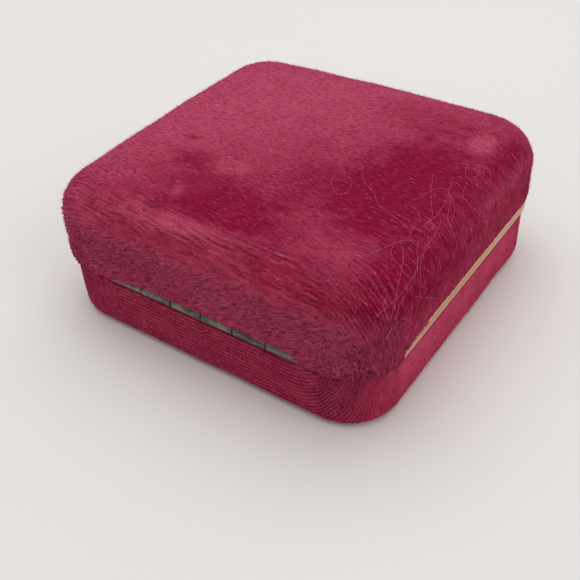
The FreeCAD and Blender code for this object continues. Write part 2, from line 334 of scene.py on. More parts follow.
def brushed_and_lit_tone(a, b):
    """Lightness of the brushed nap, 0 deep to 1 light, with painted sheen towards +X and -Y and the
    table's painted highlight and painted light added in.
    """
    # painted sheen: the nap made lighter towards +X and -Y
    tone = 0.37 + 0.55 * rise(-16, 18, 0.75 * a - 0.75 * b) + 0.24 * on_back(b)
    for centre_a, centre_b, radius_a, radius_b, degrees, amount in BRUSHED_AND_LIT:
        along, over = turned(a - centre_a, b - centre_b, degrees)
        reach = np.hypot(along / radius_a, over / radius_b)
        reach = reach + 0.28 * noise(a / 2.6 + 5, b / 2.2, 61) + 0.16 * noise(a / 0.9, b / 0.8, 62)
        tone = tone + amount * (1 - rise(0.35, 1.45, reach))
    return tone + 0.13 * noise(a / 5, b / 3.2, 63) + 0.07 * noise(a / 1.9, b / 1.1, 64)


def lid_marks(cloth, nap):
    """What the plush material reads from the mesh, for every point of the lid's cloth."""
    a, b = cloth.T
    row, show = lid_rows(a, b)
    return {"nap": nap, "tone": brushed_and_lit_tone(a, b), "row": row, "show": show, "slant": on_back(b)}


def faces_back(nb):
    """How far a direction out of the box points straight back, where the hinge is."""
    return rise(0.8, 0.98, nb)


def lid_cover_points(a, b):
    """The plush surface over the lid for cloth points a, b, with its directions and nap."""
    qa, qb, distance, na, nb = unfolded(a, b, CORE_A, CORE_B)
    tilt = np.clip((distance - LID_FLAT) / LID_EDGE, 0, math.pi / 2)
    out = np.minimum(distance, LID_FLAT) + LID_EDGE * np.sin(tilt)
    x = qa + out * na
    y = qb + out * nb
    z = LID_TOP - crown(x, y) - LID_EDGE * (1 - np.cos(tilt))
    fall = np.clip((distance - LID_FLAT - LID_ARC) / LID_WALL, 0, 1)
    hem = LID_HEM + LID_BACK_LIFT * faces_back(nb)
    z = z + (hem + LID_ROLL - z) * fall
    nap = lid_nap(a, b)
    lift = nap * lid_nap_depth(a, b)
    lift = lift + 0.16 * noise(a / 9, b / 8, 31) * (1 - 0.5 * rise(2, 8, distance)) - LID_SINK
    x = x + lift * np.sin(tilt) * na
    y = y + lift * np.sin(tilt) * nb
    z = z + lift * np.cos(tilt)
    return np.stack([x, y, z], axis=1), na, nb, nap


def outward(a, b):
    """The direction straight out of the lid at cloth points a, b."""
    _, _, distance, na, nb = unfolded(a, b, CORE_A, CORE_B)
    tilt = np.clip((distance - LID_FLAT) / LID_EDGE, 0, math.pi / 2)
    return np.stack([np.sin(tilt) * na, np.sin(tilt) * nb, np.cos(tilt)], axis=1)


def squared_grid(across, along, half_a, half_b, corner):
    """A grid of points filling a rounded rectangle, with the numbers round its edge."""
    u, v = np.meshgrid(np.linspace(-1, 1, across + 1), np.linspace(-1, 1, along + 1))
    u = u.ravel()
    v = v.ravel()
    ring = np.maximum(np.abs(u), np.abs(v))
    safe = np.maximum(ring, 1e-9)
    on_side = np.abs(u) >= np.abs(v)
    s = np.where(on_side, v * np.sign(u), -u * np.sign(v)) / safe
    side = np.where(on_side, np.where(u > 0, 0, 2), np.where(v > 0, 1, 3))
    t = side + np.clip((s + 1) / 2, 0, 1 - 1e-9)
    a, b = rounded_outline(t, half_a, half_b, corner)
    columns = across + 1
    low = np.arange(columns)
    right = np.arange(1, along + 1) * columns + across
    top = along * columns + np.arange(across - 1, -1, -1)
    left = np.arange(along - 1, 0, -1) * columns
    return ring * a, ring * b, np.concatenate([low, right, top, left])


def strips_between(edge, count, start, rings):
    """Faces joining an edge to the rings of points that follow it."""
    previous = edge
    strips = []
    following = np.roll(np.arange(count), -1)
    for index in range(rings):
        current = start + index * count + np.arange(count)
        strips.append(np.stack([previous, current, current[following], previous[following]], axis=1))
        previous = current
    return strips


def rolled_rings(edge_points, na, nb, size, way, pile, bends):
    """Rings that roll a cloth's edge over (way 1) or under (way -1), then in to its shell."""
    x, y, z = edge_points.T
    rings = []
    for degrees in bends:
        turn = math.radians(degrees)
        inward = size * (1 - math.cos(turn))
        level = z + way * size * math.sin(turn)
        rings.append(np.stack([x - inward * na, y - inward * nb, level], axis=1))
    deep = pile - TUCK_GAP
    rings.append(np.stack([x - deep * na, y - deep * nb, z + way * size], axis=1))
    return rings


def build_lid_cover(material):
    """The lid's velvet: a square grid of cloth laid over the top and down the sides."""
    across, along = 176, 500
    a, b, edge = squared_grid(across, along, CORE_A + LID_REACH, CORE_B + LID_REACH, LID_REACH)
    points, na, nb, nap = lid_cover_points(a, b)
    faces = grid_faces(along + 1, across + 1)
    size = LID_ROLL + LID_BACK_ROLL * faces_back(nb[edge])
    bends = (18, 36, 54, 72, 90)
    rings = rolled_rings(points[edge], na[edge], nb[edge], size, -1, LID_PILE, bends)
    strips = strips_between(edge, len(edge), len(points), len(rings))
    cloth = [np.stack([a, b], axis=1)]
    out = np.stack([na, nb], axis=1)[edge]
    for index in range(len(rings)):
        cloth.append(cloth[0][edge] + 0.3 * (index + 1) * out)
    nap = np.concatenate([nap] + [nap[edge]] * len(rings))
    cloth = np.concatenate(cloth)
    points = np.concatenate([points] + rings)
    faces = np.concatenate([faces] + strips)
    piece = make_piece("lid_velvet_cover", points, faces, material, cloth * MM, lid_marks(cloth, nap))
    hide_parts("lid_velvet")
    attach(piece, "lid")
    return piece


def spikes(roots, out, lie, lean, length, width):
    """Small closed three-sided spikes: one hair of the pile for each root."""
    over = np.cross(out, lie)
    corners = []
    for corner in range(3):
        turn = 2 * math.pi * corner / 3
        sideways = math.cos(turn) * lie + math.sin(turn) * over
        corners.append(roots - HAIR_ROOT * out + width * sideways)
    reach = np.cos(lean)[:, None] * out + np.sin(lean)[:, None] * lie
    corners.append(roots + length[:, None] * reach)
    points = np.stack(corners, axis=1).reshape(-1, 3)
    first = 4 * np.arange(len(roots))[:, None]
    faces = [first + np.array(face) for face in ((0, 2, 1), (0, 1, 3), (1, 2, 3), (2, 0, 3))]
    return points, np.concatenate(faces)


def spike_marks(marks, nap):
    """The plush marks for spikes: painted shade at the root, painted light at the tip."""
    marks = {mark: np.repeat(values, 4) for mark, values in marks.items()}
    marks["nap"] = np.stack([nap - 0.3, nap - 0.3, nap - 0.3, nap + 1.0], axis=1).ravel()
    marks["show"] = 0 * marks["show"]
    return marks


def build_lid_fuzz(material):
    """Hairs of pile standing off the lid's velvet, thickest over its edges and sides."""
    number = np.arange(LID_HAIRS)
    a = (2 * hashed(number, 1, 201) - 1) * (CORE_A + LID_REACH)
    b = (2 * hashed(number, 2, 202) - 1) * (CORE_B + LID_REACH)
    _, _, distance, _, nb = unfolded(a, b, CORE_A, CORE_B)
    limit = LID_REACH - 0.4 - 1.3 * rise(0.5, 0.9, nb)
    kept = (distance < limit) & (hashed(number, 3, 203) < 0.3 + 0.7 * rise(0, 6, distance))
    number = number[kept]
    a = a[kept]
    b = b[kept]
    roots, _, _, nap = lid_cover_points(a, b)
    turn = np.radians(np.where(b > 31, 27, -9) + 60 * (hashed(number, 4, 204) - 0.5))
    ahead = lid_cover_points(a + 0.6 * np.cos(turn), b + 0.6 * np.sin(turn))[0] - roots
    lie = ahead / np.linalg.norm(ahead, axis=1)[:, None]
    lean = np.radians(42 + 34 * hashed(number, 5, 205))
    row, _ = lid_rows(a, b)
    length = (0.34 + 0.46 * hashed(number, 6, 206)) * (1 + 0.35 * np.cos(2 * math.pi * row))
    points, faces = spikes(roots, outward(a, b), lie, lean, length, 0.03)
    cloth = np.stack([a, b], axis=1)
    marks = spike_marks(lid_marks(cloth, nap), nap)
    uv = np.repeat(cloth, 4, axis=0) * MM
    piece = make_piece("lid_pile_hairs", points, faces, material, uv, marks)
    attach(piece, "lid")
    return piece


def fringe_path(lead, columns):
    """A path round the back corner: its run, the core points beside it and the way out."""
    start = HINGE_LEFT - FRINGE_OVER_LEFT if lead > 0 else -HINGE_RIGHT - FRINGE_OVER_RIGHT
    straight = CORE_A - start
    bend = LID_CORNER * math.pi / 2
    run = np.linspace(0, straight + bend + FRINGE_PAST_CORNER, columns)
    turn = np.clip((run - straight) / LID_CORNER, 0, math.pi / 2)
    past = np.maximum(run - straight - bend, 0)
    core_x = lead * (start + np.minimum(run, straight))
    return run, core_x, CORE_B - past, lead * np.sin(turn), np.cos(turn)


def fringe_low(x, y, lead):
    """How low the pile hangs beyond an end of the hinge, and where it stops."""
    taper = 1.5 * rise(0.0, 6.5, HINGE_LEFT - 0.6 - x) if lead > 0 else 0.0
    end = 1.6 * rise(0.0, 3.2, 22.6 - y)
    return FRINGE_LOW + taper + end


def build_fringe(name, lead, material):
    """Pile brushed down over the gilt frame, from an end of the hinge round the back corner."""
    columns = 420
    levels = 26
    wall_top = LID_TOP - LID_EDGE
    run, core_x, core_y, na, nb = fringe_path(lead, columns)
    hang = fringe_low(core_x + LID_CORNER * na, core_y + LID_CORNER * nb, lead)
    rows = []
    cloths = []
    for share in np.arange(levels) / (levels - 1):
        rough = 0.22 * noise(run / 0.45, share + 0 * run, 71) + 0.20 * noise(run / 1.6, 0 * run, 72)
        low = np.minimum(hang + rough, FRINGE_TOP - 0.1)
        z = FRINGE_TOP + (low - FRINGE_TOP) * share
        distance = LID_FLAT + LID_ARC + (wall_top - z) * LID_WALL / (wall_top - LID_HEM - LID_ROLL)
        a = core_x + distance * na
        b = core_y + distance * nb
        nap = lid_nap(a, b) * lid_nap_depth(a, b)
        tuck = -0.30 * (1 - rise(0.0, 0.18, share)) - 0.40 * nb * rise(0.4, 0.9, share)
        tuck = tuck - 0.35 * rise(0.85, 1.0, share)
        out = LID_CORNER + 0.02 + nap + tuck
        rows.append(np.stack([core_x + out * na, core_y + out * nb, z], axis=1))
        cloths.append(np.stack([a, b], axis=1))
    cloth = np.concatenate(cloths)
    marks = lid_marks(cloth, lid_nap(*cloth.T))
    faces = grid_faces(levels, columns)
    if lead < 0:
        faces = faces[:, ::-1]
    piece = make_piece(name, np.concatenate(rows), faces, material, cloth * MM, marks)
    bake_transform(piece)
    return piece


def base_side(a, b):
    """How far a point of the base's cloth belongs to its two sides."""
    _, _, _, na, _ = unfolded(a, b, CORE_A, CORE_B)
    return rise(0.60, 1.0, np.abs(na))


def base_rows(a, b):
    """The base's flattened woven rows: which row, and how clearly it shows."""
    corner = rise(16, 26, np.abs(a)) * rise(20, 28, np.abs(b))
    swing = -0.40 * (np.abs(a) - 16) * corner * np.sign(b)
    wander = b + swing + 0.28 * noise(a / 7, b / 5, 41) + 0.07 * noise(a / 1.5, b / 1.2, 42)
    show = 0.8 + 0.4 * noise(a / 7, b / 4, 46)
    return wander / ROW_PITCH, show * (1 - 0.85 * base_side(a, b))


def base_nap(a, b):
    """Height of the base's pile: rows at the back and front, slanting pile on its two sides."""
    row, show = base_rows(a, b)
    brushed = 0.35 * base_side(a, b) * strands(a, b, -32, 1.5, 0.45, 80)
    return show * 0.7 * np.cos(2 * math.pi * row) + 0.35 * noise(a / 0.9, b / 0.5, 44) + brushed


def base_cover_points(a, b):
    """The base's velvet for cloth points a, b, with its directions and nap."""
    qa, qb, distance, na, nb = unfolded(a, b, CORE_A, CORE_B)
    tilt = np.clip((distance - BASE_FLAT) / BASE_EDGE, 0, math.pi / 2)
    out = np.minimum(distance, BASE_FLAT) + BASE_EDGE * np.sin(tilt)
    height = BASE_EDGE * (1 - np.cos(tilt)) + np.maximum(distance - BASE_FLAT - BASE_ARC, 0)
    nap = base_nap(a, b)
    lift = (0.15 * nap - 0.08 + 0.10 * noise(a / 10, b / 9, 45)) * np.sin(tilt)
    reach = out + lift * np.sin(tilt)
    level = np.maximum(height - lift * np.cos(tilt), 0.0)
    return np.stack([qa + reach * na, qb + reach * nb, level], axis=1), na, nb, nap


def base_marks(cloth, nap):
    """What the plush material reads from the mesh, for every point of the base's cloth."""
    a, b = cloth.T
    slant = base_side(a, b)
    middle = 1 - 0.75 * rise(16, 26, np.abs(b))
    height = rise(31, 38, np.abs(a))
    pink = rise(0.82, 1.0, np.sqrt(slant)) * middle * (0.45 + 0.55 * height)
    tone = 0.40 + 0.52 * pink + 0.24 * noise(a / 6, b / 3.5, 47)
    # painted shade: the top of each side wall made deeper, under the gilt frame
    tone = tone + 0.16 * noise(a / 2.2, b / 1.7, 48) - 0.6 * slant * rise(39.0, 40.2, np.abs(a))
    row, show = base_rows(a, b)
    return {"nap": nap, "tone": tone, "row": row, "show": show, "slant": slant}


def base_ring(around, distance):
    """Cloth points round the base at one distance from its middle block."""
    pa, pb = rounded_outline(around, CORE_A + BASE_CORNER, CORE_B + BASE_CORNER, BASE_CORNER)
    qa, qb, _, na, nb = unfolded(pa, pb, CORE_A, CORE_B)
    return qa + distance * na, qb + distance * nb


def build_base_cover(material):
    """The base's velvet: rings from under the bottom edge up to the gilt frame."""
    around = 1250
    turns = np.arange(around) * 4 / around
    top = BASE_FLAT + BASE_ARC + BASE_TOP - BASE_ROLL - BASE_EDGE
    rows = []
    cloths = []
    naps = []
    for distance in np.arange(BASE_FLAT - 2.2, top + 0.01, 0.19):
        a, b = base_ring(turns, distance)
        points, na, nb, nap = base_cover_points(a, b)
        rows.append(points)
        cloths.append(np.stack([a, b], axis=1))
        naps.append(nap)
    for ring in rolled_rings(rows[-1], na, nb, BASE_ROLL, 1, BASE_PILE, (22, 45, 68, 90)):
        rows.append(ring)
        cloths.append(cloths[-1] + 0.18 * np.stack([na, nb], axis=1))
        naps.append(naps[-1])
    cloth = np.concatenate(cloths)
    marks = base_marks(cloth, np.concatenate(naps))
    faces = grid_faces(len(rows), around, closed=True)[:, ::-1]
    piece = make_piece("base_velvet_cover", np.concatenate(rows), faces, material, cloth * MM, marks)
    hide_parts("base_velvet")
    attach(piece, "base")
    return piece


def build_base_fuzz(material):
    """Hairs of pile standing off the base's walls."""
    number = np.arange(BASE_HAIRS)
    low = BASE_FLAT + 0.55 * BASE_ARC
    high = BASE_FLAT + BASE_ARC + BASE_TOP - BASE_EDGE - 0.5
    a, b = base_ring(4 * hashed(number, 1, 211), low + (high - low) * hashed(number, 2, 212))
    roots, na, nb, nap = base_cover_points(a, b)
    out = np.stack([na, nb, 0 * na], axis=1)
    slant = base_side(a, b)
    turn = np.radians(32 * slant + 50 * (hashed(number, 3, 213) - 0.5))
    lie = np.stack([-nb * np.cos(turn), na * np.cos(turn), np.sin(turn)], axis=1)
    lean = np.radians(55 + 25 * hashed(number, 4, 214))
    row, _ = base_rows(a, b)
    ridge = 0.35 * np.cos(2 * math.pi * row) * (1 - slant)
    length = (0.22 + 0.26 * hashed(number, 5, 215)) * (1 + ridge)
    points, faces = spikes(roots, out, lie, lean, length, 0.026)
    cloth = np.stack([a, b], axis=1)
    marks = spike_marks(base_marks(cloth, nap), nap)
    uv = np.repeat(cloth, 4, axis=0) * MM
    piece = make_piece("base_pile_hairs", points, faces, material, uv, marks)
    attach(piece, "base")
    return piece


# ---- interior

def coordinates(piece):
    """The points of a piece's mesh."""
    values = np.empty(len(piece.data.vertices) * 3, dtype=np.float32)
    piece.data.vertices.foreach_get("co", values)
    return values.reshape(-1, 3).astype(float)


def settle(piece):
    """Turns a piece's modifiers into plain mesh."""
    graph = bpy.context.evaluated_depsgraph_get()
    graph.update()
    mesh = bpy.data.meshes.new_from_object(piece.evaluated_get(graph))
    old = piece.data
    piece.modifiers.clear()
    piece.data = mesh
    bpy.data.meshes.remove(old)


def remeshed_copy(node, name, voxel):
    """An evenly meshed copy of a CAD piece, at the scale that it is blown up at."""
    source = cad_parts[node]
    mesh = source.data.copy()
    mesh.transform(source.matrix_world)
    mesh.transform(Matrix.Scale(STUFF_SCALE, 4))
    mesh.materials.clear()
    piece = bpy.data.objects.new(name, mesh)
    bpy.context.scene.collection.objects.link(piece)
    remesh = piece.modifiers.new("even", "REMESH")
    remesh.mode = "VOXEL"
    remesh.voxel_size = voxel * MM * STUFF_SCALE
    settle(piece)
    return piece


def blow_up(piece, swell, pinned):
    """Fills a piece with pressure as cloth; points between the two pinned levels stay glued."""
    rest = coordinates(piece)
    group = piece.vertex_groups.new(name="glued")
    low, high = pinned
    levels = rest[:, 2] / STUFF_SCALE / MM
    glued = np.nonzero((levels > low) & (levels < high))[0]
    group.add(glued.tolist(), 1.0, "REPLACE")
    cloth = piece.modifiers.new("cloth", "CLOTH")
    cloth.settings.quality = 5
    cloth.settings.mass = 0.3
    cloth.settings.use_pressure = True
    cloth.settings.uniform_pressure_force = 4.0
    cloth.settings.vertex_group_mass = "glued"
    cloth.settings.effector_weights.gravity = 0.0
    scene = bpy.context.scene
    for step in range(1, STUFF_STEPS + 1):
        scene.frame_set(step)
    settle(piece)
    scene.frame_set(1)
    moved = coordinates(piece) - rest
    size = np.maximum(np.linalg.norm(moved, axis=1), 1e-12)
    moved = moved * (np.minimum(size, swell * MM * STUFF_SCALE) / size)[:, None]
    piece.data.vertices.foreach_set("co", (rest + moved).astype(np.float32).ravel())


def stuffed(node, name, voxel, swell, pinned, material):
    """A padded piece: the CAD piece remeshed, blown up as cloth and smoothed."""
    piece = remeshed_copy(node, name, voxel)
    blow_up(piece, swell, pinned)
    piece.data.transform(Matrix.Scale(1 / STUFF_SCALE, 4))
    finer = piece.modifiers.new("finer", "SUBSURF")
    finer.levels = 1
    finer.render_levels = 1
    settle(piece)
    piece.data.polygons.foreach_set("use_smooth", np.ones(len(piece.data.polygons), dtype=bool))
    piece.data.materials.append(material)
    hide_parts(node)
    return piece


def satin_profile(low, high):
    """A strip's profile: how far back towards the wall, the level, and 1 where cloth gathers."""
    fold = [(0.55, SATIN_FOLD), (0.62, 0.4), (0.5, 0.0), (0.25, 0.0)]
    profile = [(behind, low + into, 0) for behind, into in fold]
    profile += [(0.06, low + share * (high - low), 1) for share in np.linspace(0.04, 0.96, 16)]
    return profile + [(behind, high - into, 0) for behind, into in reversed(fold)]


def build_wall_satin(node, name, low, high, body, material):
    """A satin strip round the inside wall, both edges folded over, open behind the spring."""
    columns = 900
    t = np.linspace(1.5 + SATIN_BACK_GAP, 5.5 - SATIN_BACK_GAP, columns) % 4
    a, b = rounded_outline(t, SATIN_HALF_W, SATIN_HALF_D, SATIN_CORNER)
    _, _, _, na, nb = unfolded(a, b, SATIN_HALF_W - SATIN_CORNER, SATIN_HALF_D - SATIN_CORNER)
    run = np.linspace(0, SATIN_RUN, columns)
    height = high - low
    rows = []
    cloths = []
    for behind, z, gathered in satin_profile(low, high):
        share = (z - low) / height
        gather = 0.14 * noise(run / 1.3, share * 1.2 + 0 * run, 91) * math.sin(math.pi * share)
        inset = SATIN_STANDOFF - behind + gather * gathered
        rows.append(np.stack([a - inset * na, b - inset * nb, z + 0 * run], axis=1))
        cloths.append(np.stack([run, z + 0 * run], axis=1))
    faces = grid_faces(len(rows), columns)[:, ::-1]
    piece = make_piece(name, np.concatenate(rows), faces, material, np.concatenate(cloths) * MM)
    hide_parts(node)
    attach(piece, body)
    return piece


def build_spring(material):
    """The bow spring: a thin strip from wall to wall."""
    levels = np.linspace(SPRING_LOW, SPRING_HIGH, 77)
    away = np.clip(np.abs(levels - PIN_Z) / SPRING_REACH, 0, 1)
    bow = SPRING_BOW * (1 + np.cos(math.pi * away)) / 2
    ends = rise(0, 0.9, levels - SPRING_LOW) * rise(0, 0.9, SPRING_HIGH - levels)
    width = SPRING_HALF_WIDTH * (0.75 + 0.25 * ends)
    corners = []
    for way, depth in ((-1, 0), (1, 0), (1, SPRING_THICK), (-1, SPRING_THICK)):
        corners.append(np.stack([way * width, SPRING_WALL - depth - bow, levels], axis=1))
    points = np.stack(corners, axis=1).reshape(-1, 3)
    faces = grid_faces(len(levels), 4, closed=True)
    last = 4 * (len(levels) - 1)
    caps = np.array([[3, 2, 1, 0], [last, last + 1, last + 2, last + 3]])
    piece = make_piece("bow_spring_strip", points, np.concatenate([faces, caps]), material, smooth=False)
    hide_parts("snap_spring")
    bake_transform(piece)
    return piece


# ---- lint

# The stray fibres, each a few marks along X and Y on the lid's unfolded cloth.
LINT = (
    ((-10.0, 6.0), (-11.5, 8.0), (-13.0, 9.2), (-14.2, 8.6), (-14.0, 7.0), (-13.5, 5.5)),
    ((-13.5, 2.5), (-15.0, 4.5), (-17.5, 6.0), (-20.0, 8.8), (-23.0, 10.0), (-26.5, 11.5)),
    (
        (-24.5, 20.0), (-26.0, 16.0), (-27.5, 13.5), (-28.6, 12.8),
        (-29.2, 14.0), (-31.0, 16.5), (-32.0, 19.5),
    ),
    ((-32.0, 19.5), (-32.2, 22.0), (-33.5, 25.0), (-35.5, 27.5)),
    ((-26.0, -3.5), (-27.0, 0.0), (-27.8, 3.0), (-28.0, 6.0), (-27.8, 9.5)),
    ((-23.8, 5.2), (-24.2, 3.6), (-25.2, 0.4), (-27.0, -0.4)),
    ((-27.0, 0.0), (-28.5, 2.5), (-29.5, 5.0), (-30.8, 5.6), (-32.5, 6.2)),
    ((-27.4, 0.5), (-29.2, 2.3), (-30.2, 4.6)),
    ((-27.0, 12.2), (-26.9, 11.0), (-28.0, 10.4), (-29.0, 10.6), (-29.6, 9.4), (-29.0, 6.0)),
    ((-29.6, 9.4), (-30.0, 12.0), (-30.6, 14.8), (-32.0, 16.6), (-33.4, 16.8), (-34.4, 15.6)),
    ((-26.8, 14.6), (-28.4, 16.5), (-29.2, 18.2), (-30.2, 20.6), (-31.2, 22.6), (-32.8, 25.5)),
    ((-26.3, 15.6), (-27.0, 17.6), (-28.6, 18.3), (-30.2, 18.6), (-31.4, 17.9)),
    ((-27.6, 7.4), (-28.7, 7.9), (-28.6, 9.1), (-27.8, 9.0), (-27.9, 8.0), (-28.9, 8.4), (-28.2, 9.8)),
    ((-33.5, 19.0), (-35.0, 17.0), (-36.5, 15.2), (-38.8, 12.6)),
    ((-30.2, 23.4), (-30.6, 25.0), (-32.4, 25.8)),
    ((-22.8, -3.0), (-24.4, 0.6), (-25.8, 3.4), (-27.6, 6.4)),
    ((-24.0, 6.4), (-25.6, 7.2), (-26.8, 8.6)),
    ((-24.5, -7.5), (-26.6, -8.6), (-28.0, -9.6), (-29.8, -9.8)),
    ((-26.4, -8.0), (-26.8, -6.0), (-28.4, -5.0), (-30.2, -5.4)),
    ((-27.4, -9.2), (-28.7, -7.6), (-28.3, -6.4), (-29.6, -5.4)),
    ((-28.2, -3.2), (-28.9, -1.2), (-30.2, -0.8), (-32.0, -1.6)),
    ((-27.2, -17.4), (-28.4, -16.2), (-29.2, -16.6)),
    ((2.5, 36.5), (1.8, 34.5), (0.2, 32.5), (-1.6, 30.0)),
    ((-30.5, 27.0), (-31.4, 23.0), (-31.2, 18.0), (-30.0, 14.0), (-29.6, 11.0)),
    ((-36.5, 21.0), (-34.8, 22.6), (-34.2, 25.4), (-35.2, 27.6)),
)


def smooth_path(marks, count):
    """A smooth curve through a few marks on the cloth."""
    marks = np.array([marks[0]] + list(marks) + [marks[-1]], dtype=float)
    spans = len(marks) - 3
    t = np.linspace(0, spans - 1e-6, count)
    index = t.astype(int)
    f = (t - index)[:, None]
    p0, p1, p2, p3 = (marks[index + k] for k in range(4))
    return 0.5 * (
        2 * p1 + (p2 - p0) * f + (2 * p0 - 5 * p1 + 4 * p2 - p3) * f ** 2
        + (3 * p1 - p0 - 3 * p2 + p3) * f ** 3
    )


def lint_line(marks, index):
    """The middle line of one stray fibre, and the two directions across it."""
    count = 26 * len(marks)
    s = np.linspace(0, 2.0 * len(marks), count)
    wave = np.stack([noise(s, 0 * s, 100 + index), noise(s, 0 * s, 130 + index)], axis=1)
    a, b = (smooth_path(marks, count) + 0.12 * wave).T
    away = outward(a, b)
    lift = 0.30 + 0.20 * noise(s / 1.5, 0 * s, 160 + index)
    line = lid_cover_points(a, b)[0] + away * lift[:, None]
    along = np.gradient(line, axis=0)
    along /= np.linalg.norm(along, axis=1)[:, None]
    return line, np.cross(along, away), away


def build_lint(material):
    """Stray fibres caught in the lid's pile, most of them by the near back corner."""
    points = []
    faces = []
    first = 0
    for index, marks in enumerate(LINT):
        line, across, away = lint_line(marks, index)
        corners = []
        for corner in range(LINT_SIDES):
            turn = 2 * math.pi * corner / LINT_SIDES
            corners.append(line + LINT_RADIUS * (math.cos(turn) * across + math.sin(turn) * away))
        points.append(np.stack(corners, axis=1).reshape(-1, 3))
        faces.append(first + grid_faces(len(line), LINT_SIDES, closed=True)[:, ::-1])
        first += len(points[-1])
    piece = make_piece("lid_lint", np.concatenate(points), np.concatenate(faces), material)
    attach(piece, "lid")
    return piece


# ---- materials

class Nodes:
    """A small helper that adds nodes to one material and links them."""

    def __init__(self, name):
        self.material = bpy.data.materials.new(name)
        self.material.use_nodes = True
        self.tree = self.material.node_tree
        self.shader = self.tree.nodes["Principled BSDF"]

    def add(self, kind, links=None, **values):
        node = self.tree.nodes.new(kind)
        for key, value in values.items():
            setattr(node, key, value)
        for socket, source in (links or {}).items():
            self.put(node.inputs[socket], source)
        return node

    def put(self, socket, source):
        if hasattr(source, "is_linked"):
            self.tree.links.new(source, socket)
        else:
            socket.default_value = source

    def math(self, operation, a, b=0.0, clamp=False):
        node = self.add("ShaderNodeMath", operation=operation, use_clamp=clamp)
        self.put(node.inputs[0], a)
        self.put(node.inputs[1], b)
        return node.outputs[0]

    def plus(self, a, b, clamp=False):
        return self.math("ADD", a, b, clamp)

    def times(self, a, b):
        return self.math("MULTIPLY", a, b)

    def mix(self, factor, a, b):
        node = self.add("ShaderNodeMix", data_type="RGBA")
        self.put(node.inputs[0], factor)
        self.put(node.inputs[6], a)
        self.put(node.inputs[7], b)
        return node.outputs[2]

    def ramp(self, value, low, high):
        node = self.add("ShaderNodeMapRange", {"Value": value, "From Min": low, "From Max": high})
        node.interpolation_type = "SMOOTHSTEP"
        return node.outputs[0]

    def noise(self, vector, scale, detail=2.0, roughness=0.5, distortion=0.0):
        node = self.add(
            "ShaderNodeTexNoise",
            {"Vector": vector, "Scale": scale, "Detail": detail, "Roughness": roughness},
        )
        node.inputs["Distortion"].default_value = distortion
        return node.outputs[0]

    def blend(self, factor, a, b):
        node = self.add("ShaderNodeMix", data_type="FLOAT")
        self.put(node.inputs[0], factor)
        self.put(node.inputs[2], a)
        self.put(node.inputs[3], b)
        return node.outputs[0]

    def scaled(self, vector, scale, degrees=0):
        """Coordinates turned about Z, then scaled."""
        if degrees:
            turn = self.add("ShaderNodeMapping", {"Vector": vector})
            turn.inputs["Rotation"].default_value = (0, 0, math.radians(degrees))
            vector = turn.outputs[0]
        node = self.add("ShaderNodeMapping", {"Vector": vector})
        node.inputs["Scale"].default_value = scale
        return node.outputs[0]

    def cloth(self):
        return self.add("ShaderNodeUVMap", uv_map="cloth").outputs[0]

    def mark(self, name):
        return self.add("ShaderNodeAttribute", attribute_name=name).outputs["Fac"]

    def place(self):
        return self.add("ShaderNodeTexCoord").outputs["Object"]

    def surface(self, values):
        """Sets or links the shader's inputs."""
        for socket, source in values.items():
            self.put(self.shader.inputs[socket], source)

    def bump(self, height, strength, distance):
        node = self.add("ShaderNodeBump", {"Height": height, "Strength": strength})
        node.inputs["Distance"].default_value = distance
        self.tree.links.new(node.outputs[0], self.shader.inputs["Normal"])
        return node


def woven(n, cloth, stitch):
    """Rows of small tufts, from the row numbers marked on the mesh, as a height."""
    row = n.mark("row")
    show = n.mark("show")
    ridge = n.math("COSINE", n.times(row, 2 * math.pi))
    number = n.math("FLOOR", n.plus(row, 0.5))
    along = n.add("ShaderNodeSeparateXYZ", {"Vector": cloth}).outputs["X"]
    shift = n.times(n.noise(n.scaled(cloth, (700, 700, 1)), 1.0, 1), 2.0)
    phase = n.plus(n.math("DIVIDE", along, stitch), n.times(number, 0.37))
    tuft = n.math("COSINE", n.times(n.plus(phase, shift), 2 * math.pi))
    both = n.plus(n.times(ridge, 0.6), n.times(tuft, 0.4))
    return n.times(both, show)


def pile_fibres(n, cloth, scale, lean, slanted):
    """Fine strands, about -0.5..0.5, leaning and stronger or weaker where the mesh is slanted."""
    slant = n.mark("slant")
    straight = n.noise(n.scaled(cloth, scale), 1.0, 4, 0.75, 0.5)
    leaning = n.noise(n.scaled(cloth, scale, lean), 1.0, 4, 0.75, 0.5)
    fibres = n.math("SUBTRACT", n.blend(slant, straight, leaning), 0.5)
    return n.times(fibres, n.plus(1.0, n.times(slant, slanted)))


def pile_colour(n, deep, rose, shadow, rows, fibres, specks):
    """Brushed deep to rose, with painted shade between the tufts and painted light on their tips."""
    tone = n.plus(n.mark("tone"), n.times(specks, 0.55), clamp=True)
    colour = n.mix(tone, deep, rose)
    pits = n.plus(n.times(n.mark("nap"), 0.50), n.times(fibres, 2.9))
    pits = n.plus(pits, n.times(rows, 0.5))
    colour = n.mix(n.ramp(pits, -0.60, 0.12), n.mix(0.62, colour, shadow), colour)
    # painted light: the tufts' high points made lighter
    tips = n.mix(0.5, colour, (min(1.0, 1.5 * rose[0]), 1.6 * rose[1], 1.6 * rose[2], 1))
    return n.mix(n.ramp(pits, 0.15, 0.85), colour, tips)


